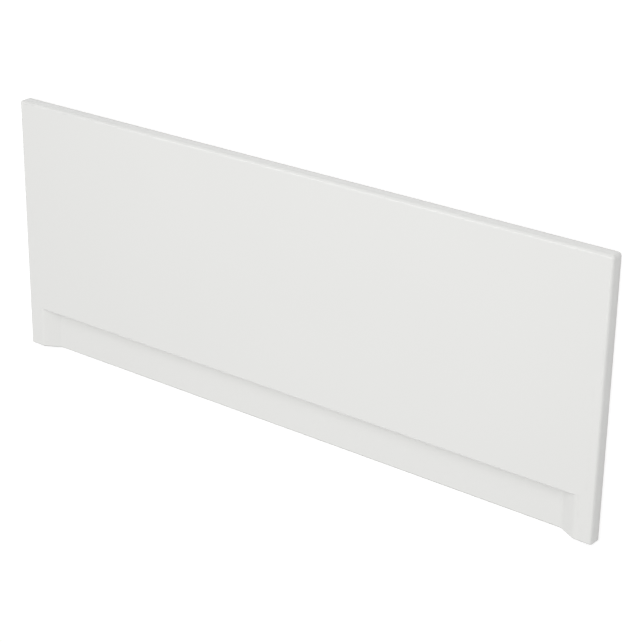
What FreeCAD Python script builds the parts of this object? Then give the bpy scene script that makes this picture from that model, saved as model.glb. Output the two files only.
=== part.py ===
"""Front panel for a built-in bath: one sheet of white sanitary acrylic, vacuum formed and trimmed.

The panel lies on its back with its face up. +X runs along the bath, +Y points to the top edge that
goes under the bath rim, and +Z points out of the face. The origin is the middle of the plane that
the rims of the returns lie on. Lengths are in millimetres.

The show side is a shallow block, rounded along the top and both ends, less the toe recess. The back
is hollowed out by the same forms, moved in by the thickness of the sheet.
"""
import FreeCAD, Part
import math
import os
import Sketcher
from FreeCAD import Placement, Rotation, Vector

NODE = "bath_panel"

# Driving dimensions: name, value, meaning.
SIZES = (
    ("panel_length", 1400, "end to end, made for a bath 1400 mm long"),
    ("panel_height", 545, "trimmed bottom edge to the outside of the top return"),
    ("wall", 3.5, "thickness of the formed sheet"),
    ("inside_radius", 2, "rounding on the inside of an outer edge"),
    ("corner_extra", 1, "how much rounder the two top corners are than the edges"),
    ("recess_depth", 20, "how far the toe recess is set back from the face"),
    ("recess_height", 85, "trimmed bottom edge to the ledge over the toe recess"),
    ("ledge_inside_radius", 1, "rounding on the inside of the ledge's edge"),
    ("cove_radius", 4, "hollow rounding where the ledge meets the floor of the recess"),
    ("rear_clearance", 1, "gap between the back of the recess and the plane of the rims"),
    ("foot_width", 32, "flat width of the full-depth foot at each end"),
    ("ramp_run", 48, "length of the ramp from a foot down to the recess"),
    ("ramp_radius", 22, "bend at the top and the bottom of a ramp, on the show side"),
    ("trim_radius", 1.5, "softened outer corner of the trimmed bottom edge"),
    ("overcut", 10, "how far a cutting form stands clear of the sheet"),
)

RETURN_DEPTH = "(sizes.recess_depth + sizes.wall + sizes.rear_clearance)"
FLOOR_LEVEL = "(sizes.wall + sizes.rear_clearance)"
EDGE_RADIUS = "(sizes.inside_radius + sizes.wall)"
CORNER_RADIUS = "(sizes.inside_radius + sizes.corner_extra + sizes.wall)"
LIP_RADIUS = "(sizes.ledge_inside_radius + sizes.wall)"
BOTTOM = "(-sizes.panel_height / 2)"
LEDGE = "(-sizes.panel_height / 2 + sizes.recess_height)"
FOOT_END = "(sizes.panel_length / 2 - sizes.foot_width)"

# The show side is drawn with no inset, and the back is inset by the thickness of the sheet.
SHOW_SIDE = "0"
BACK_SIDE = "sizes.wall"

# Sketch references: the points of a curve, the two axes, and the origin, where the level axis starts.
START, END, CENTRE = range(1, 4)
H_AXIS, V_AXIS = range(-1, -3, -1)
ORIGIN = (H_AXIS, START)

TOUCHING = 1e-4

doc = FreeCAD.newDocument("bath_panel_model")


def make_sheet():
    """Spreadsheet with one driving dimension on each row."""
    table = doc.addObject("Spreadsheet::Sheet", "sizes")
    for row, (name, number, meaning) in enumerate(SIZES, start=1):
        table.set("A%d" % row, name)
        table.set("B%d" % row, str(number))
        table.set("C%d" % row, meaning)
        table.setAlias("B%d" % row, name)
    doc.recompute()
    return table


sizes = make_sheet()


def value(expression):
    """Present value of an expression of the driving dimensions."""
    return float(sizes.evalExpression(expression))


def new_sketch(body, name, role, offset="0"):
    """Sketch on one of the body's origin planes, moved along the plane's normal by the offset."""
    sketch = body.newObject("Sketcher::SketchObject", name)
    base = next(item for item in body.Origin.OriginFeatures if item.Role == role)
    sketch.AttachmentSupport = (base, [""])
    sketch.MapMode = "FlatFace"
    sketch.AttachmentOffset = Placement(Vector(0, 0, value(offset)), Rotation())
    sketch.setExpression("AttachmentOffset.Base.z", offset)
    return sketch


def line(sketch, start, end):
    return sketch.addGeometry(Part.LineSegment(Vector(*start, 0), Vector(*end, 0)), False)


def arc(sketch, centre, radius, first, last):
    """Arc from the first to the last angle, in degrees, counterclockwise."""
    circle = Part.Circle(Vector(*centre, 0), Vector(0, 0, 1), radius)
    curve = Part.ArcOfCircle(circle, math.radians(first), math.radians(last))
    return sketch.addGeometry(curve, False)


def fix(sketch, *constraint):
    return sketch.addConstraint(Sketcher.Constraint(*constraint))


def dimension(sketch, name, expression, kind, *where):
    """Named dimension of a sketch, bound to the driving dimensions."""
    index = fix(sketch, kind, *where, value(expression))
    sketch.renameConstraint(index, name)
    sketch.setExpression("Constraints." + name, expression)


def solve(sketch):
    """A sketch has to be fully held by its constraints."""
    doc.recompute()
    if sketch.solve() != 0 or not sketch.FullyConstrained:
        raise RuntimeError("sketch %s is not fully constrained" % sketch.Label)


def draw_outline(sketch, inset, bottom):
    """Plan of the panel with its two rounded top corners, seen from the face.

    The bottom side is a straight line at the level that the bottom expression gives.
    """
    half = value("sizes.panel_length / 2 - " + inset)
    top = value("sizes.panel_height / 2 - " + inset)
    low = value(bottom)
    radius = value(CORNER_RADIUS + " - " + inset)
    base = line(sketch, (-half, low), (half, low))
    right = line(sketch, (half, low), (half, top - radius))
    right_corner = arc(sketch, (half - radius, top - radius), radius, 0, 90)
    upper = line(sketch, (half - radius, top), (radius - half, top))
    left_corner = arc(sketch, (radius - half, top - radius), radius, 90, 180)
    left = line(sketch, (-half, top - radius), (-half, low))
    fix(sketch, "Coincident", base, END, right, START)
    fix(sketch, "Tangent", right, END, right_corner, START)
    fix(sketch, "Tangent", right_corner, END, upper, START)
    fix(sketch, "Tangent", upper, END, left_corner, START)
    fix(sketch, "Tangent", left_corner, END, left, START)
    fix(sketch, "Coincident", left, END, base, START)
    fix(sketch, "Vertical", right)
    fix(sketch, "Vertical", left)
    fix(sketch, "Horizontal", upper)
    fix(sketch, "Equal", right_corner, left_corner)
    fix(sketch, "Symmetric", base, START, base, END, V_AXIS)
    length = "sizes.panel_length - 2 * " + inset
    dimension(sketch, "length", length, "DistanceX", base, START, base, END)
    dimension(sketch, "top", "sizes.panel_height / 2 - " + inset, "DistanceY", *ORIGIN, upper, START)
    dimension(sketch, "bottom", "-" + bottom, "DistanceY", base, START, *ORIGIN)
    dimension(sketch, "corner", CORNER_RADIUS + " - " + inset, "Radius", right_corner)
    solve(sketch)


def draw_ramps(sketch, inset):
    """Long section of the toe recess: the space over a floor with a ramp at each end.

    Each ramp is two tangent arcs with a straight slope between them. The inset moves the curve into
    the sheet, so an arc keeps its centre: the one at the top gets tighter, the one at the bottom wider.
    """
    foot = value(FOOT_END)
    run = value("sizes.ramp_run")
    depth = value("sizes.recess_depth")
    bend = value("sizes.ramp_radius")
    face = value(RETURN_DEPTH)
    upper = value("sizes.ramp_radius - " + inset)
    lower = value("sizes.ramp_radius + " + inset)
    clear = value(RETURN_DEPTH + " + sizes.overcut")
    slope_length = 2 * math.sqrt((run ** 2 + (2 * bend - depth) ** 2) / 4 - bend ** 2)
    lean = math.atan2(2 * bend, slope_length) - math.atan2(2 * bend - depth, run)
    turn = math.degrees(lean)

    def ramp(side):
        """Top arc, slope and bottom arc of the ramp at one end, -1 for left and 1 for right."""
        top_centre = (side * foot, face - bend)
        bottom_centre = (side * (foot - run), face - depth + bend)
        swing = side * math.sin(lean)
        top_end = (top_centre[0] - upper * swing, top_centre[1] + upper * math.cos(lean))
        low_end = (bottom_centre[0] + lower * swing, bottom_centre[1] - lower * math.cos(lean))
        slope = line(sketch, top_end, low_end)
        if side > 0:
            top = arc(sketch, top_centre, upper, 90, 90 + turn)
            bottom = arc(sketch, bottom_centre, lower, 270, 270 + turn)
            fix(sketch, "Tangent", top, END, slope, START)
            fix(sketch, "Tangent", slope, END, bottom, END)
        else:
            top = arc(sketch, top_centre, upper, 90 - turn, 90)
            bottom = arc(sketch, bottom_centre, lower, 270 - turn, 270)
            fix(sketch, "Tangent", top, START, slope, START)
            fix(sketch, "Tangent", slope, END, bottom, START)
        return top, bottom

    left_top, left_bottom = ramp(-1)
    right_top, right_bottom = ramp(1)
    shoulder = face - bend + upper
    level = face - depth + bend - lower
    floor = line(sketch, (run - foot, level), (foot - run, level))
    left_side = line(sketch, (-foot, shoulder), (-foot, clear))
    lid = line(sketch, (-foot, clear), (foot, clear))
    right_side = line(sketch, (foot, clear), (foot, shoulder))
    fix(sketch, "Tangent", left_bottom, END, floor, START)
    fix(sketch, "Tangent", floor, END, right_bottom, START)
    fix(sketch, "Coincident", left_top, END, left_side, START)
    fix(sketch, "Coincident", left_side, END, lid, START)
    fix(sketch, "Coincident", lid, END, right_side, START)
    fix(sketch, "Coincident", right_side, END, right_top, START)
    fix(sketch, "Vertical", left_top, END, left_top, CENTRE)
    fix(sketch, "Vertical", right_top, START, right_top, CENTRE)
    fix(sketch, "Vertical", left_side)
    fix(sketch, "Vertical", right_side)
    fix(sketch, "Horizontal", lid)
    fix(sketch, "Equal", left_top, right_top)
    fix(sketch, "Equal", left_bottom, right_bottom)
    fix(sketch, "Symmetric", left_top, END, right_top, START, V_AXIS)
    fix(sketch, "Symmetric", floor, START, floor, END, V_AXIS)
    shoulder_level = RETURN_DEPTH + " - " + inset
    dimension(sketch, "foot_end", FOOT_END, "DistanceX", *ORIGIN, right_top, START)
    dimension(sketch, "shoulder", shoulder_level, "DistanceY", *ORIGIN, right_top, START)
    dimension(sketch, "run", "sizes.ramp_run", "DistanceX", floor, END, right_top, START)
    dimension(sketch, "floor", FLOOR_LEVEL + " - " + inset, "DistanceY", *ORIGIN, floor, END)
    dimension(sketch, "top_bend", "sizes.ramp_radius - " + inset, "Radius", right_top)
    dimension(sketch, "bottom_bend", "sizes.ramp_radius + " + inset, "Radius", right_bottom)
    dimension(sketch, "clear", RETURN_DEPTH + " + sizes.overcut", "DistanceY", *ORIGIN, lid, START)
    solve(sketch)


def draw_ledge(sketch, inset):
    """Cross-section of the sheet over the toe recess: what lies behind the ledge.

    The line goes up from the floor through a cove, along the ledge and over a rounded lip to the face.
    """
    cove = value("sizes.cove_radius + " + inset)
    lip = value(LIP_RADIUS + " - " + inset)
    ledge = value(LEDGE + " + " + inset)
    face = value(RETURN_DEPTH + " - " + inset)
    floor = value(FLOOR_LEVEL + " - " + inset)
    margin = value("sizes.overcut")
    low = floor - margin
    high = value(RETURN_DEPTH + " + 2 * sizes.overcut")
    far = value(LEDGE + " + " + LIP_RADIUS + " + 2 * sizes.overcut")
    cove_arc = arc(sketch, (ledge - cove, floor + cove), cove, 270, 360)
    riser = line(sketch, (ledge, floor + cove), (ledge, face - lip))
    lip_arc = arc(sketch, (ledge + lip, face - lip), lip, 90, 180)
    above = line(sketch, (ledge + lip, face), (ledge + lip, high))
    roof = line(sketch, (ledge + lip, high), (far, high))
    behind = line(sketch, (far, high), (far, low))
    base = line(sketch, (far, low), (ledge - cove, low))
    below = line(sketch, (ledge - cove, low), (ledge - cove, floor))
    fix(sketch, "Tangent", cove_arc, END, riser, START)
    fix(sketch, "Tangent", riser, END, lip_arc, END)
    fix(sketch, "Coincident", lip_arc, START, above, START)
    fix(sketch, "Coincident", above, END, roof, START)
    fix(sketch, "Coincident", roof, END, behind, START)
    fix(sketch, "Coincident", behind, END, base, START)
    fix(sketch, "Coincident", base, END, below, START)
    fix(sketch, "Coincident", below, END, cove_arc, START)
    fix(sketch, "Vertical", riser)
    fix(sketch, "Vertical", above)
    fix(sketch, "Vertical", behind)
    fix(sketch, "Vertical", below)
    fix(sketch, "Horizontal", roof)
    fix(sketch, "Horizontal", base)
    fix(sketch, "Vertical", cove_arc, START, cove_arc, CENTRE)
    fix(sketch, "Vertical", lip_arc, START, lip_arc, CENTRE)
    dimension(sketch, "cove", "sizes.cove_radius + " + inset, "Radius", cove_arc)
    dimension(sketch, "lip", LIP_RADIUS + " - " + inset, "Radius", lip_arc)
    dimension(sketch, "ledge", "-(" + LEDGE + " + " + inset + ")", "DistanceX", riser, START, *ORIGIN)
    dimension(sketch, "face", RETURN_DEPTH + " - " + inset, "DistanceY", *ORIGIN, lip_arc, START)
    dimension(sketch, "floor", FLOOR_LEVEL + " - " + inset, "DistanceY", *ORIGIN, cove_arc, START)
    dimension(sketch, "below", "sizes.overcut", "DistanceY", below, START, below, END)
    dimension(sketch, "roof", RETURN_DEPTH + " + 2 * sizes.overcut", "DistanceY", *ORIGIN, roof, START)
    behind_ledge = LIP_RADIUS + " + 2 * sizes.overcut - " + inset
    dimension(sketch, "behind", behind_ledge, "DistanceX", riser, START, behind, START)
    solve(sketch)


def edges_where(feature, test):
    """Names of a feature's edges that pass the test over their whole length."""
    names = []
    for number, edge in enumerate(feature.Shape.Edges, start=1):
        if all(test(point) for point in edge.discretize(5)):
            names.append("Edge%d" % number)
    return names


def round_over(body, name, base, edges, radius):
    """Fillet on the named edges of the body's last feature."""
    fillet = body.newObject("PartDesign::Fillet", name)
    fillet.Base = (base, edges)
    fillet.setExpression("Radius", radius)
    doc.recompute()
    return fillet


def pad(body, name, sketch, length, backwards=False):
    """Pad along the sketch's normal, or backwards, against it."""
    feature = body.newObject("PartDesign::Pad", name)
    feature.Profile = sketch
    feature.Reversed = backwards
    feature.setExpression("Length", length)
    doc.recompute()
    return feature


def less_than(before, feature):
    """A cut has to take some of the solid away."""
    if not feature.Shape.Volume < before - TOUCHING:
        raise RuntimeError("%s cuts nothing" % feature.Label)
    return feature


def cut_through(body, name, sketch, length):
    """Pocket through the body, half of its length to each side of the sketch."""
    before = body.Shape.Volume
    pocket = body.newObject("PartDesign::Pocket", name)
    pocket.Profile = sketch
    pocket.Midplane = True
    pocket.setExpression("Length", length)
    doc.recompute()
    return less_than(before, pocket)


def cut_body(body, name, tool):
    """Cut another body out of this one."""
    before = body.Shape.Volume
    feature = body.newObject("PartDesign::Boolean", name)
    feature.Type = "Cut"
    feature.setObjects([tool])
    doc.recompute()
    return less_than(before, feature)


def make_recess(name, inset):
    """Space of the toe recess, from under the bottom edge up to the ledge."""
    body = doc.addObject("PartDesign::Body", name)
    ramps = new_sketch(body, name + "_ramps", "XZ_Plane", "sizes.panel_height / 2 + sizes.overcut")
    draw_ramps(ramps, inset)
    reach = "sizes.recess_height + " + LIP_RADIUS + " + 2 * sizes.overcut"
    pad(body, name + "_length", ramps, reach, backwards=True)
    section = new_sketch(body, name + "_section", "YZ_Plane")
    draw_ledge(section, inset)
    cut_through(body, name + "_ledge", section, "sizes.panel_length")
    return body


def make_hollow():
    """Space behind the sheet: the inside of the tray, less the back of the toe recess."""
    body = doc.addObject("PartDesign::Body", "hollow")
    outline = new_sketch(body, "hollow_outline", "XY_Plane", "-sizes.overcut")
    draw_outline(outline, BACK_SIDE, "(-sizes.panel_height / 2 - sizes.overcut)")
    ceiling_level = RETURN_DEPTH + " - sizes.wall"
    tray = pad(body, "tray", outline, ceiling_level + " + sizes.overcut")
    ceiling = value(ceiling_level)
    bottom = value(BOTTOM)
    ceiling_rim = edges_where(tray, lambda point: abs(point.z - ceiling) < TOUCHING)
    open_end = edges_where(tray, lambda point: point.y < bottom)
    bends = [edge for edge in ceiling_rim if edge not in open_end]
    round_over(body, "tray_bends", tray, bends, "sizes.inside_radius")
    cut_body(body, "behind_recess", make_recess("recess_back", BACK_SIDE))
    return body


def make_panel():
    """The formed sheet."""
    body = doc.addObject("PartDesign::Body", NODE)
    outline = new_sketch(body, "outline", "XY_Plane")
    draw_outline(outline, SHOW_SIDE, BOTTOM)
    block = pad(body, "block", outline, RETURN_DEPTH)
    face = value(RETURN_DEPTH)
    bottom = value(BOTTOM)

    def on_bottom(point):
        return abs(point.y - bottom) < TOUCHING

    face_rim = edges_where(block, lambda point: abs(point.z - face) < TOUCHING)
    bottom_rim = edges_where(block, on_bottom)
    bends = [edge for edge in face_rim if edge not in bottom_rim]
    round_over(body, "bends", block, bends, EDGE_RADIUS)
    recessed = cut_body(body, "toe_recess", make_recess("recess", SHOW_SIDE))
    back_rim = edges_where(recessed, lambda point: abs(point.z) < TOUCHING)
    trimmed = [edge for edge in edges_where(recessed, on_bottom) if edge not in back_rim]
    round_over(body, "trimmed_edge", recessed, trimmed, "sizes.trim_radius")
    cut_body(body, "back", make_hollow())
    return body


def write_step(body):
    """Write the finished panel, after every feature and the solid itself have been found sound."""
    for item in doc.Objects:
        if "Invalid" in item.State or "Error" in item.State:
            raise RuntimeError("%s failed: %s" % (item.Label, item.State))
    shape = body.Shape
    if shape.isNull() or not shape.isValid() or len(shape.Solids) != 1:
        raise RuntimeError("%s is not one sound solid" % body.Label)
    os.makedirs("parts", exist_ok=True)
    shape.exportStep("parts/%s.step" % body.Label)
    print("%s: %.0f cubic mm" % (body.Label, shape.Volume))


write_step(make_panel())
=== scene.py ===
"""White acrylic bath panel with a toe recess: the formed sheet, its finishes and a plain studio.

The file is laid out as a Blender add-on and run as a script. Lengths are in metres, in the frame of the
CAD model: +X along the bath, +Y to the panel's top edge and +Z out of its face. The panel lies on its
back, and the camera looks down on it.
"""
import math

import bmesh
import bpy
from bpy.props import FloatProperty, FloatVectorProperty, IntProperty, PointerProperty
from mathutils import Matrix, Vector


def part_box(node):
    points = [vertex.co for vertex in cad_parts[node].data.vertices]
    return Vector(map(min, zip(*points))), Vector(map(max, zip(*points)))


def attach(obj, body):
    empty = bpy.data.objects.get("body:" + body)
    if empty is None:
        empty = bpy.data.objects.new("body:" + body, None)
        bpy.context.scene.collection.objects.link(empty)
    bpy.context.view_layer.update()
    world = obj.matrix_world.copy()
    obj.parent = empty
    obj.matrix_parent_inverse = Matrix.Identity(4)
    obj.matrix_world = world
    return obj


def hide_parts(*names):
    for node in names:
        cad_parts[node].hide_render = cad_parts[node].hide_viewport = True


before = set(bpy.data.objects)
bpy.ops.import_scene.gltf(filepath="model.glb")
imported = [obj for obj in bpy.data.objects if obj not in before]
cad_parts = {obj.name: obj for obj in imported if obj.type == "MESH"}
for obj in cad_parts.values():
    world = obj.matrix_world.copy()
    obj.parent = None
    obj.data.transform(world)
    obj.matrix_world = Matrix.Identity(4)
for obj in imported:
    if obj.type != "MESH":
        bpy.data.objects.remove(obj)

bl_info = {
    "name": "Bath panel",
    "version": (1, 0, 0),
    "blender": (4, 5, 0),
    "location": "3D View > Sidebar > Bath panel",
    "description": "Forms a white acrylic bath panel with a toe recess and lights it in a plain studio",
    "category": "Add Mesh",
}

MM = 0.001
NODE = "bath_panel"
PIECE = "formed_sheet"
X, Y, Z = range(3)

# Points closer than this are one point.
TOUCHING = 0.002 * MM

# A face stands steep, at over 60 degrees, where less than this share of its normal runs along Z.
STEEP = 0.5

# Two faces that meet at more than this angle keep a sharp edge.
SHARP = math.radians(40)

# Finishes of the sheet, in the order of its material slots.
SHOW, BACK, CUT = range(3)

# What the bevel operator calls the finish of the faces beside a bevel.
ADJOINING = -1

ACRYLIC_IOR = 1.49

# Sockets of a Mix node that mixes colours, where its other sockets have the same names.
MIX_A, MIX_B, MIX_RESULT = 6, 7, 2

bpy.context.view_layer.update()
PANEL_LOW, PANEL_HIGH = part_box(NODE)
PANEL_SIZE = PANEL_HIGH - PANEL_LOW


def linear(code):
    """Linear colour of an sRGB hex value."""
    shares = [int(code[place:place + 2], 16) / 255 for place in (1, 3, 5)]
    return [s / 12.92 if s <= 0.04045 else ((s + 0.055) / 1.055) ** 2.4 for s in shares]


class SheetSizes(bpy.types.PropertyGroup):
    """Sizes of the formed sheet, which is centred on the frame's origin with its rims at Z = 0"""

    length: FloatProperty(
        name="Length", description="End to end", default=PANEL_SIZE.x, unit="LENGTH")
    height: FloatProperty(
        name="Height", description="Trimmed bottom edge to the top return",
        default=PANEL_SIZE.y, unit="LENGTH")
    depth: FloatProperty(
        name="Depth", description="Rims of the returns to the face",
        default=PANEL_SIZE.z, unit="LENGTH")
    wall: FloatProperty(
        name="Wall", description="Thickness of the sheet", default=3.5 * MM, unit="LENGTH")
    edge_radius: FloatProperty(
        name="Edge radius", description="Rounding along the top and both ends",
        default=5.5 * MM, unit="LENGTH")
    corner_radius: FloatProperty(
        name="Corner radius", description="Rounding of the two top corners",
        default=6.5 * MM, unit="LENGTH")
    recess_depth: FloatProperty(
        name="Recess depth", description="Set-back of the toe recess", default=20 * MM, unit="LENGTH")
    recess_height: FloatProperty(
        name="Recess height", description="Bottom edge to the ledge", default=85 * MM, unit="LENGTH")
    lip_radius: FloatProperty(
        name="Lip radius", description="Rounding from the face to the ledge",
        default=4.5 * MM, unit="LENGTH")
    cove_radius: FloatProperty(
        name="Cove radius", description="Rounding from the ledge to the recess",
        default=4 * MM, unit="LENGTH")
    foot_width: FloatProperty(
        name="Foot width", description="Flat width of the foot at each end",
        default=32 * MM, unit="LENGTH")
    ramp_run: FloatProperty(
        name="Ramp run", description="Length of the ramp from a foot to the recess",
        default=48 * MM, unit="LENGTH")
    ramp_radius: FloatProperty(
        name="Ramp radius", description="Bend at the top and bottom of a ramp",
        default=22 * MM, unit="LENGTH")
    trim_radius: FloatProperty(
        name="Trim radius", description="Routed corner of the bottom edge",
        default=1.5 * MM, unit="LENGTH")
    arris: FloatProperty(
        name="Arris", description="Scraped corner of the other cut edges",
        default=0.4 * MM, unit="LENGTH")
    bend_steps: IntProperty(
        name="Bend steps", description="Facets across a rounding", default=10, min=2, subtype="UNSIGNED")
    trim_steps: IntProperty(
        name="Trim steps", description="Facets across the routed corner",
        default=4, min=1, subtype="UNSIGNED")
    arris_steps: IntProperty(
        name="Arris steps", description="Facets across a scraped corner",
        default=2, min=1, subtype="UNSIGNED")

    @property
    def right(self):
        """Right end along X."""
        return self.length / 2

    @property
    def top(self):
        """Top edge along Y."""
        return self.height / 2

    @property
    def bottom(self):
        """Bottom edge along Y."""
        return -self.height / 2

    @property
    def ledge(self):
        """Ledge over the toe recess along Y."""
        return self.bottom + self.recess_height

    @property
    def face(self):
        """Face along Z."""
        return self.depth


class SheetColours(bpy.types.PropertyGroup):
    """Colours of the sheet's finishes"""

    face: FloatVectorProperty(
        name="Face", description="Gloss show side", subtype="COLOR", default=linear("#E5E5E3"))
    face_pale: FloatVectorProperty(
        name="Pale face", description="Palest tone of the show side",
        subtype="COLOR", default=linear("#E7E7E5"))
    back: FloatVectorProperty(
        name="Back", description="Matt back", subtype="COLOR", default=linear("#DADAD5"))
    back_pale: FloatVectorProperty(
        name="Pale back", description="Palest tone of the back",
        subtype="COLOR", default=linear("#E3E3DF"))
    # The cut edge's two tones are partly the routed acrylic's own duller grey and partly painted shade:
    # both are set darker so that the routed bottom corner shows the dark line of shade along the bottom
    # edge.
    edge: FloatVectorProperty(
        name="Cut edge", description="Trimmed edges", subtype="COLOR", default=linear("#A4A4A0"))
    edge_pale: FloatVectorProperty(
        name="Pale cut edge", description="Ridges of the cutter marks",
        subtype="COLOR", default=linear("#B2B2AE"))


class StudioSettings(bpy.types.PropertyGroup):
    """Camera, lights and floor"""

    azimuth: FloatProperty(
        name="Azimuth", description="Camera to the right of the panel's face",
        default=math.radians(37.51), unit="ROTATION")
    elevation: FloatProperty(
        name="Elevation", description="Camera towards the panel's top edge",
        default=math.radians(23.039), unit="ROTATION")
    roll: FloatProperty(
        name="Roll", description="Turn of the picture", default=math.radians(0.87), unit="ROTATION")
    aim: FloatVectorProperty(
        name="Aim", description="Point of the face in the middle of the picture",
        default=(93.39 * MM, -8.07 * MM, PANEL_HIGH.z), subtype="XYZ", unit="LENGTH")
    distance: FloatProperty(
        name="Distance", description="Camera to the aim", default=3510.3 * MM, unit="LENGTH")
    lens: FloatProperty(
        name="Lens", description="Focal length", default=104.342, unit="CAMERA")
    sky: FloatProperty(
        name="Sky", description="Strength of the even light from all round", default=0.508, min=0)
    key_power: FloatProperty(
        name="Key", description="Power of the softbox beyond the top edge", default=29, unit="POWER")
    key_place: FloatVectorProperty(
        name="Key place", description="Middle of the softbox beyond the top edge",
        default=(0.9, 2.35, 2.3), subtype="XYZ", unit="LENGTH")
    key_size: FloatVectorProperty(
        name="Key size", description="Width and length of the softbox beyond the top edge",
        default=(2.4, 1.8), size=2, unit="LENGTH")
    strip_power: FloatProperty(
        name="Strip", description="Power of the softbox that shines in the top rounding",
        default=25, unit="POWER")
    strip_place: FloatVectorProperty(
        name="Strip place", description="Middle of the softbox that shines in the top rounding",
        default=(-1.6, 0.1, 3.2), subtype="XYZ", unit="LENGTH")
    strip_size: FloatVectorProperty(
        name="Strip size", description="Width and length of the softbox that shines in the top rounding",
        default=(2.6, 0.8), size=2, unit="LENGTH")
    fill_power: FloatProperty(
        name="Fill", description="Power of the softbox over the right half of the face",
        default=24, unit="POWER")
    fill_place: FloatVectorProperty(
        name="Fill place", description="Middle of the softbox over the right half of the face",
        default=(0.8, -0.2, 3.2), subtype="XYZ", unit="LENGTH")
    fill_size: FloatVectorProperty(
        name="Fill size", description="Width and length of the softbox over the right half of the face",
        default=(2.4, 0.8), size=2, unit="LENGTH")
    floor_size: FloatProperty(
        name="Floor size", description="Side of the studio floor", default=40, unit="LENGTH")
    floor: FloatVectorProperty(
        name="Floor", description="Paper of the studio floor", subtype="COLOR", default=linear("#DCDCDC"))
    floor_glow: FloatProperty(
        name="Floor glow", description="What lifts the floor to white for the camera and in reflections",
        default=0.42, min=0)
    far_glow: FloatProperty(
        name="Far glow", description="The same where the softboxes no longer reach", default=0.66, min=0)
    lit_reach: FloatVectorProperty(
        name="Lit reach", description="Distances between which the softboxes' light leaves the floor",
        default=(1.5, 4), size=2, unit="LENGTH")


def at(edge, axis, place):
    """Whether both ends of an edge have this coordinate."""
    return all(abs(point.co[axis] - place) < TOUCHING for point in edge.verts)


def choose(piece, test):
    """Select the edges that pass the test, and nothing else."""
    bpy.ops.mesh.select_mode(type="EDGE")
    bpy.ops.mesh.select_all(action="DESELECT")
    shape = bmesh.from_edit_mesh(piece.data)
    shape.normal_update()
    chosen = [edge for edge in shape.edges if test(edge)]
    if not chosen:
        raise RuntimeError("%s has no such edge" % piece.name)
    for edge in chosen:
        edge.select_set(True)
    bmesh.update_edit_mesh(piece.data)


def round_over(piece, test, radius, steps, finish=ADJOINING):
    """Bevel the edges that pass the test."""
    choose(piece, test)
    bpy.ops.mesh.bevel(
        offset=radius, segments=steps, affect="EDGES", clamp_overlap=False, material=finish)


def merge_touching():
    """Merge all points that lie on each other."""
    bpy.ops.mesh.select_all(action="SELECT")
    bpy.ops.mesh.remove_doubles(threshold=TOUCHING)


def apply_modifier(piece, kind, **settings):
    """Add a modifier with its settings and apply it."""
    bpy.ops.object.modifier_add(type=kind)
    modifier = piece.modifiers[-1]
    for name, setting in settings.items():
        setattr(modifier, name, setting)
    bpy.ops.object.modifier_apply(modifier=modifier.name)


def draw_line(run):
    """Extrude the chosen point or chain of edges by a run."""
    bpy.ops.mesh.extrude_region_move(TRANSFORM_OT_translate={"value": run})


def draw_arc(centre, angle, steps):
    """Turn the chosen point about an axis along X, in steps joined by edges, from +Y to +Z if positive.

    The spin operator itself counts its angle the other way round. With no angle the steps stay on the
    spot, so that every section has the same number of points to bridge.
    """
    if angle:
        bpy.ops.mesh.spin(steps=steps, angle=-angle, center=centre, axis=(1, 0, 0))
    else:
        for _ in range(steps):
            draw_line((0, 0, 0))


def draw_section(sizes, place, level):
    """Cross-section of the show side at a place along X, where the recess has this level.

    It runs from the bottom edge through the cove, the ledge and the lip to the top edge. Where a ramp
    leaves less height than the cove and the lip need, both turn less, and on a foot they vanish.
    """
    drop = sizes.face - level
    bends = sizes.lip_radius + sizes.cove_radius
    turn = math.acos(max(1 - drop / bends, 0))
    riser = max(drop - bends, 0)
    lip_centre = (place, sizes.ledge + sizes.lip_radius, sizes.face - sizes.lip_radius)
    cove_centre = (place, lip_centre[Y] - bends * math.sin(turn), level + sizes.cove_radius)
    # A small plane, merged to its middle, is the section's first point.
    bpy.ops.mesh.primitive_plane_add(size=sizes.wall, location=(place, sizes.bottom, level))
    bpy.ops.mesh.merge(type="CENTER")
    draw_line((0, cove_centre[Y] - sizes.bottom, 0))
    draw_arc(cove_centre, turn, sizes.bend_steps)
    draw_line((0, 0, riser))
    draw_arc(lip_centre, -turn, sizes.bend_steps)
    draw_line((0, sizes.top - lip_centre[Y], 0))


def ramp_stations(sizes):
    """Places along X from the middle to the right end, each with the level of the recess there.

    A ramp is two equal bends, hollow at the recess and round at the foot, with the straight line
    between them that touches both.
    """
    floor = sizes.face - sizes.recess_depth
    foot = sizes.right - sizes.foot_width
    start = foot - sizes.ramp_run
    radius = sizes.ramp_radius
    across = 2 * radius - sizes.recess_depth
    slope = math.sqrt(sizes.ramp_run ** 2 + across ** 2 - (2 * radius) ** 2)
    lean = math.atan2(2 * radius, slope) - math.atan2(across, sizes.ramp_run)
    angles = [lean * step / sizes.bend_steps for step in range(sizes.bend_steps + 1)]
    bend = [(radius * math.sin(angle), radius * (1 - math.cos(angle))) for angle in angles]
    rising = [(start + run, floor + rise) for run, rise in bend]
    easing = [(foot - run, sizes.face - rise) for run, rise in reversed(bend)]
    low, high = Vector(rising[-1]), Vector(easing[0])
    straight = [low.lerp(high, step / sizes.bend_steps)[:] for step in range(1, sizes.bend_steps)]
    return [(0, floor), *rising, *straight, *easing, (sizes.right, sizes.face)]


def form_show_side(piece, sizes):
    """Right half of the show side, with square edges."""
    stations = ramp_stations(sizes)
    bpy.ops.mesh.select_mode(type="VERT")
    for place, level in stations:
        draw_section(sizes, place, level)
    for (near, _), (far, _) in zip(stations, stations[1:]):
        choose(piece, lambda edge: at(edge, X, near) or at(edge, X, far))
        bpy.ops.mesh.bridge_edge_loops()
    merge_touching()


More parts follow.
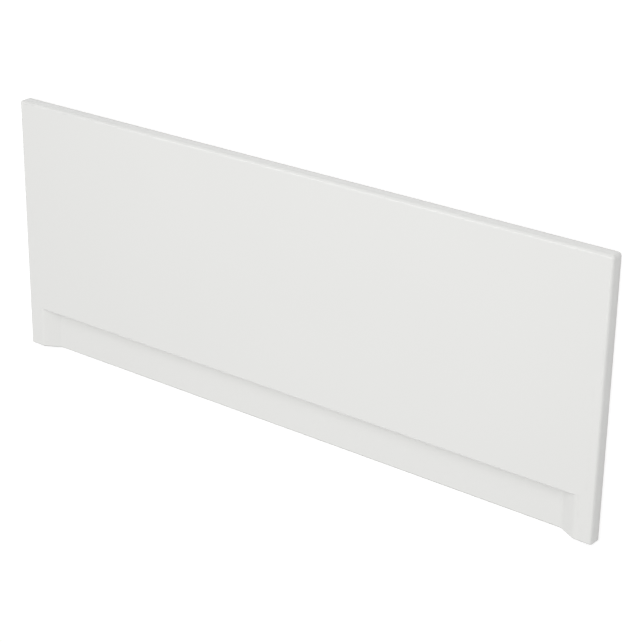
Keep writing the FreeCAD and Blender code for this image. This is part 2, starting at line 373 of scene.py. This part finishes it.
def turn_returns(piece, sizes):
    """Fold the top and the end back to the rims, then round the corner and the edge."""

    def outer(edge):
        return at(edge, X, sizes.right) or at(edge, Y, sizes.top)

    def corner(edge):
        return at(edge, X, sizes.right) and at(edge, Y, sizes.top)

    def folded(edge):
        return at(edge, Z, sizes.face) and any(abs(side.normal.z) < STEEP for side in edge.link_faces)

    choose(piece, outer)
    draw_line((0, 0, -sizes.depth))
    round_over(piece, corner, sizes.corner_radius, sizes.bend_steps)
    round_over(piece, folded, sizes.edge_radius, sizes.bend_steps)


def point_outwards(piece):
    """Give the open sheet one set of normals that come out of the face."""
    bpy.ops.mesh.select_all(action="SELECT")
    bpy.ops.mesh.normals_make_consistent(inside=False)
    shape = bmesh.from_edit_mesh(piece.data)
    if sum(side.normal.z * side.calc_area() for side in shape.faces) < 0:
        bpy.ops.mesh.flip_normals()


def soften_cuts(piece, sizes):
    """Rout the show side's corner of the bottom edge, and scrape the other corners of the cut edges."""

    def finishes(edge):
        return {side.material_index for side in edge.link_faces}

    def bottom_corner(edge):
        return finishes(edge) == {SHOW, CUT} and at(edge, Y, sizes.bottom)

    def other_corner(edge):
        return finishes(edge) in ({SHOW, CUT}, {BACK, CUT}) and not bottom_corner(edge)

    round_over(piece, other_corner, sizes.arris, sizes.arris_steps)
    # The routed corner takes the cut edge's finish, whose darkened grey is partly painted shade along the
    # bottom edge.
    round_over(piece, bottom_corner, sizes.trim_radius, sizes.trim_steps, CUT)
    # Where the two kinds of corner meet, at the ends of the bottom edge, some points coincide.
    merge_touching()


def start_material(name):
    """New material with an empty node tree."""
    material = bpy.data.materials.new(name)
    material.use_nodes = True
    material.node_tree.nodes.clear()
    return material, material.node_tree


def add_node(tree, kind, inputs, **settings):
    """Add a node with its settings, and set or link its inputs by their names or places."""
    node = tree.nodes.new(kind)
    for name, setting in settings.items():
        setattr(node, name, setting)
    for key, source in inputs.items():
        if isinstance(source, bpy.types.NodeSocket):
            tree.links.new(source, node.inputs[key])
        else:
            node.inputs[key].default_value = source
    return node


def shade_acrylic(tree, tones, drift, roughness, wear, relief, height):
    """Shade acrylic by patterns that run from 0 to 1.

    Its colour goes from the first of the tones to the second with the drift, its roughness likewise
    with the wear, and the relief stands up to a height.
    """
    tone = add_node(
        tree, "ShaderNodeMix",
        {"Factor": drift, MIX_A: (*tones[0], 1), MIX_B: (*tones[1], 1)}, data_type="RGBA")
    dull = add_node(
        tree, "ShaderNodeMapRange", {"Value": wear, "To Min": roughness[0], "To Max": roughness[1]})
    skin = add_node(tree, "ShaderNodeBump", {"Height": relief, "Strength": 1, "Distance": height})
    shader = add_node(
        tree, "ShaderNodeBsdfPrincipled",
        {"Base Color": tone.outputs[MIX_RESULT], "Roughness": dull.outputs["Result"],
         "Normal": skin.outputs["Normal"], "IOR": ACRYLIC_IOR})
    add_node(tree, "ShaderNodeOutputMaterial", {"Surface": shader.outputs["BSDF"]})


def gloss_acrylic(colours):
    """Cast sanitary acrylic, vacuum formed face out.

    The show side never touches the mould, so it keeps the gloss of the cast sheet: clear, soft
    highlights on every bend. Heating and drawing leave a faint orange peel, a gloss that is a little
    duller in wide patches, and a white that drifts by a tone where the sheet was drawn thinner.
    """
    drawn_patch = 320 * MM
    dull_patch = 140 * MM
    # Real orange peel is 1 to 3 mm across, too fine for the picture, so it is drawn coarser.
    peel_size = 7 * MM
    peel_height = 0.02 * MM
    roughness = (0.11, 0.19)
    material, tree = start_material("sanitary_acrylic_vacuum_formed_gloss")
    place = add_node(tree, "ShaderNodeTexCoord", {}).outputs["Object"]
    drawn = add_node(
        tree, "ShaderNodeTexNoise", {"Vector": place, "Scale": 1 / drawn_patch, "Detail": 2})
    dull = add_node(
        tree, "ShaderNodeTexNoise", {"Vector": place, "Scale": 1 / dull_patch, "Detail": 3})
    peel = add_node(
        tree, "ShaderNodeTexNoise", {"Vector": place, "Scale": 1 / peel_size, "Detail": 1})
    shade_acrylic(
        tree, tones=(colours.face, colours.face_pale), drift=drawn.outputs["Fac"],
        roughness=roughness, wear=dull.outputs["Fac"], relief=peel.outputs["Fac"], height=peel_height)
    return material


def matt_back(colours):
    """The same acrylic on its mould side.

    It took the fine blast of the mould, so it is matt and slightly greyer, with cloudy patches where
    the hot sheet met the mould sooner.
    """
    cloud_size = 70 * MM
    # The blast is finer than 0.5 mm and is drawn coarser.
    blast_size = 2.5 * MM
    blast_height = 0.05 * MM
    roughness = (0.7, 0.5)
    material, tree = start_material("sanitary_acrylic_mould_side_matt")
    place = add_node(tree, "ShaderNodeTexCoord", {}).outputs["Object"]
    cloud = add_node(
        tree, "ShaderNodeTexNoise", {"Vector": place, "Scale": 1 / cloud_size, "Detail": 4})
    blast = add_node(
        tree, "ShaderNodeTexNoise", {"Vector": place, "Scale": 1 / blast_size, "Detail": 2})
    shade_acrylic(
        tree, tones=(colours.back, colours.back_pale), drift=cloud.outputs["Fac"],
        roughness=roughness, wear=cloud.outputs["Fac"], relief=blast.outputs["Fac"], height=blast_height)
    return material


def routed_edge_painted_shade(colours):
    """The same acrylic, routed to size and left unpolished.

    The cutter leaves a dull, greyer edge with faint ripples across it. Its grey is set darker than that,
    as painted shade: the routed bottom corner wears it and draws the dark line of shade round the gloss
    face.
    """
    # A router leaves ripples about 1 mm apart, drawn coarser to show at all.
    ripple_pitch = 2.5 * MM
    ripple_height = 0.02 * MM
    # The Wave texture has ten radians to a unit of its scale.
    ripple_scale = 2 * math.pi / 10 / ripple_pitch
    roughness = (0.6, 0.45)
    material, tree = start_material("sanitary_acrylic_routed_edge_painted_shade")
    place = add_node(tree, "ShaderNodeTexCoord", {}).outputs["Object"]
    ripple = add_node(
        tree, "ShaderNodeTexWave",
        {"Vector": place, "Scale": ripple_scale, "Distortion": 3, "Detail": 2},
        wave_type="BANDS", bands_direction="DIAGONAL")
    shade_acrylic(
        tree, tones=(colours.edge, colours.edge_pale), drift=ripple.outputs["Fac"],
        roughness=roughness, wear=ripple.outputs["Fac"], relief=ripple.outputs["Fac"], height=ripple_height)
    return material


class BATHPANEL_OT_form_sheet(bpy.types.Operator):
    """Form the panel: a swept section with returns, given its wall, its cut edges and its finishes"""

    bl_idname = "bath_panel.form_sheet"
    bl_label = "Form the sheet"

    def execute(self, context):
        sizes, colours = context.scene.sheet_sizes, context.scene.sheet_colours
        bpy.ops.object.select_all(action="DESELECT")
        bpy.ops.object.add(type="MESH")
        piece = context.object
        piece.name = piece.data.name = PIECE
        for finish in (gloss_acrylic, matt_back, routed_edge_painted_shade):
            piece.data.materials.append(finish(colours))
        bpy.ops.object.mode_set(mode="EDIT")
        form_show_side(piece, sizes)
        turn_returns(piece, sizes)
        bpy.ops.object.mode_set(mode="OBJECT")
        apply_modifier(piece, "MIRROR", merge_threshold=TOUCHING)
        bpy.ops.object.mode_set(mode="EDIT")
        point_outwards(piece)
        bpy.ops.object.mode_set(mode="OBJECT")
        apply_modifier(
            piece, "SOLIDIFY", thickness=sizes.wall, offset=-1, use_even_offset=True,
            use_quality_normals=True, material_offset=BACK, material_offset_rim=CUT)
        bpy.ops.object.mode_set(mode="EDIT")
        soften_cuts(piece, sizes)
        bpy.ops.object.mode_set(mode="OBJECT")
        bpy.ops.object.shade_smooth_by_angle(angle=SHARP)
        apply_modifier(piece, "WEIGHTED_NORMAL", keep_sharp=True)
        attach(piece, "root")
        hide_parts(NODE)
        return {"FINISHED"}


def studio_paper(studio):
    """White paper floor: it keeps the shadow, and the camera and reflections see it lifted to white."""
    material, tree = start_material("studio_paper")
    ray = add_node(tree, "ShaderNodeLightPath", {}).outputs
    seen = add_node(
        tree, "ShaderNodeMath", {0: ray["Is Camera Ray"], 1: ray["Is Glossy Ray"]}, operation="MAXIMUM")
    seen = add_node(
        tree, "ShaderNodeMath", {0: seen.outputs["Value"], 1: ray["Is Transmission Ray"]},
        operation="MAXIMUM")
    place = add_node(tree, "ShaderNodeTexCoord", {}).outputs["Object"]
    away = add_node(tree, "ShaderNodeVectorMath", {0: place}, operation="LENGTH")
    near, far = studio.lit_reach
    lift = add_node(
        tree, "ShaderNodeMapRange",
        {"Value": away.outputs["Value"], "From Min": near, "From Max": far,
         "To Min": studio.floor_glow, "To Max": studio.far_glow})
    glow = add_node(
        tree, "ShaderNodeMath", {0: seen.outputs["Value"], 1: lift.outputs["Result"]}, operation="MULTIPLY")
    paper = add_node(tree, "ShaderNodeBsdfDiffuse", {"Color": (*studio.floor, 1)})
    light = add_node(tree, "ShaderNodeEmission", {"Strength": glow.outputs["Value"]})
    both = add_node(tree, "ShaderNodeAddShader", {0: paper.outputs["BSDF"], 1: light.outputs["Emission"]})
    add_node(tree, "ShaderNodeOutputMaterial", {"Surface": both.outputs["Shader"]})
    return material


def lay_floor(studio):
    """Lay the paper that the panel's rims rest on."""
    bpy.ops.mesh.primitive_plane_add(size=studio.floor_size, location=(0, 0, PANEL_LOW.z))
    floor = bpy.context.object
    floor.name = "studio_floor"
    floor.data.materials.append(studio_paper(studio))


def light_sky(scene, studio):
    """Light the studio evenly from all round."""
    world = bpy.data.worlds.new("studio_sky")
    world.use_nodes = True
    tree = world.node_tree
    tree.nodes.clear()
    sky = add_node(tree, "ShaderNodeBackground", {"Color": (1, 1, 1, 1), "Strength": studio.sky})
    add_node(tree, "ShaderNodeOutputWorld", {"Surface": sky.outputs["Background"]})
    scene.world = world


def facing(back, roll=0):
    """Turn of a lamp or camera that looks against a direction, upright to the panel's top edge."""
    level = Vector((0, 1, 0)).cross(back).normalized()
    right = Matrix.Rotation(roll, 3, back) @ level
    return Matrix((right, back.cross(right), back)).transposed().to_euler()


def hang_softbox(name, power, place, size):
    """Hang a rectangular light that faces the middle of the panel."""
    turned = facing(Vector(place).normalized())
    bpy.ops.object.light_add(type="AREA", location=place, rotation=turned)
    lamp = bpy.context.object
    lamp.name = name
    lamp.data.shape = "RECTANGLE"
    lamp.data.energy = power
    lamp.data.size, lamp.data.size_y = size


def set_camera(scene, studio):
    """Set the camera at the photograph's viewing angle."""
    swing, lift = studio.azimuth, studio.elevation
    back = Vector((math.sin(swing) * math.cos(lift), math.sin(lift), math.cos(swing) * math.cos(lift)))
    place = Vector(studio.aim) + studio.distance * back
    bpy.ops.object.camera_add(location=place, rotation=facing(back, studio.roll))
    camera = bpy.context.object
    camera.name = "catalogue_camera"
    camera.data.lens = studio.lens
    scene.camera = camera


class BATHPANEL_OT_stage(bpy.types.Operator):
    """Lay the floor, light the studio and set the camera"""

    bl_idname = "bath_panel.stage"
    bl_label = "Set the stage"

    def execute(self, context):
        studio = context.scene.studio_settings
        bpy.ops.object.select_all(action="DESELECT")
        lay_floor(studio)
        light_sky(context.scene, studio)
        hang_softbox("key_softbox", studio.key_power, studio.key_place, studio.key_size)
        hang_softbox("strip_softbox", studio.strip_power, studio.strip_place, studio.strip_size)
        hang_softbox("fill_softbox", studio.fill_power, studio.fill_place, studio.fill_size)
        set_camera(context.scene, studio)
        context.scene.view_settings.view_transform = "Standard"
        return {"FINISHED"}


class BATHPANEL_PT_sidebar(bpy.types.Panel):
    """Sizes, colours and steps of the bath panel"""

    bl_label = "Bath panel"
    bl_space_type = "VIEW_3D"
    bl_region_type = "UI"
    bl_category = "Bath panel"

    def draw(self, context):
        layout = self.layout
        scene = context.scene
        for group in (scene.sheet_sizes, scene.sheet_colours, scene.studio_settings):
            column = layout.column()
            for name in group.__annotations__:
                column.prop(group, name)
        layout.operator(BATHPANEL_OT_form_sheet.bl_idname)
        layout.operator(BATHPANEL_OT_stage.bl_idname)


CLASSES = (
    SheetSizes,
    SheetColours,
    StudioSettings,
    BATHPANEL_OT_form_sheet,
    BATHPANEL_OT_stage,
    BATHPANEL_PT_sidebar,
)


def register():
    for made in CLASSES:
        bpy.utils.register_class(made)
    bpy.types.Scene.sheet_sizes = PointerProperty(type=SheetSizes)
    bpy.types.Scene.sheet_colours = PointerProperty(type=SheetColours)
    bpy.types.Scene.studio_settings = PointerProperty(type=StudioSettings)


def unregister():
    del bpy.types.Scene.studio_settings
    del bpy.types.Scene.sheet_colours
    del bpy.types.Scene.sheet_sizes
    for made in reversed(CLASSES):
        bpy.utils.unregister_class(made)


def main():
    """Form the panel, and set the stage."""
    register()
    bpy.ops.bath_panel.form_sheet()
    bpy.ops.bath_panel.stage()


if __name__ == "__main__":
    main()
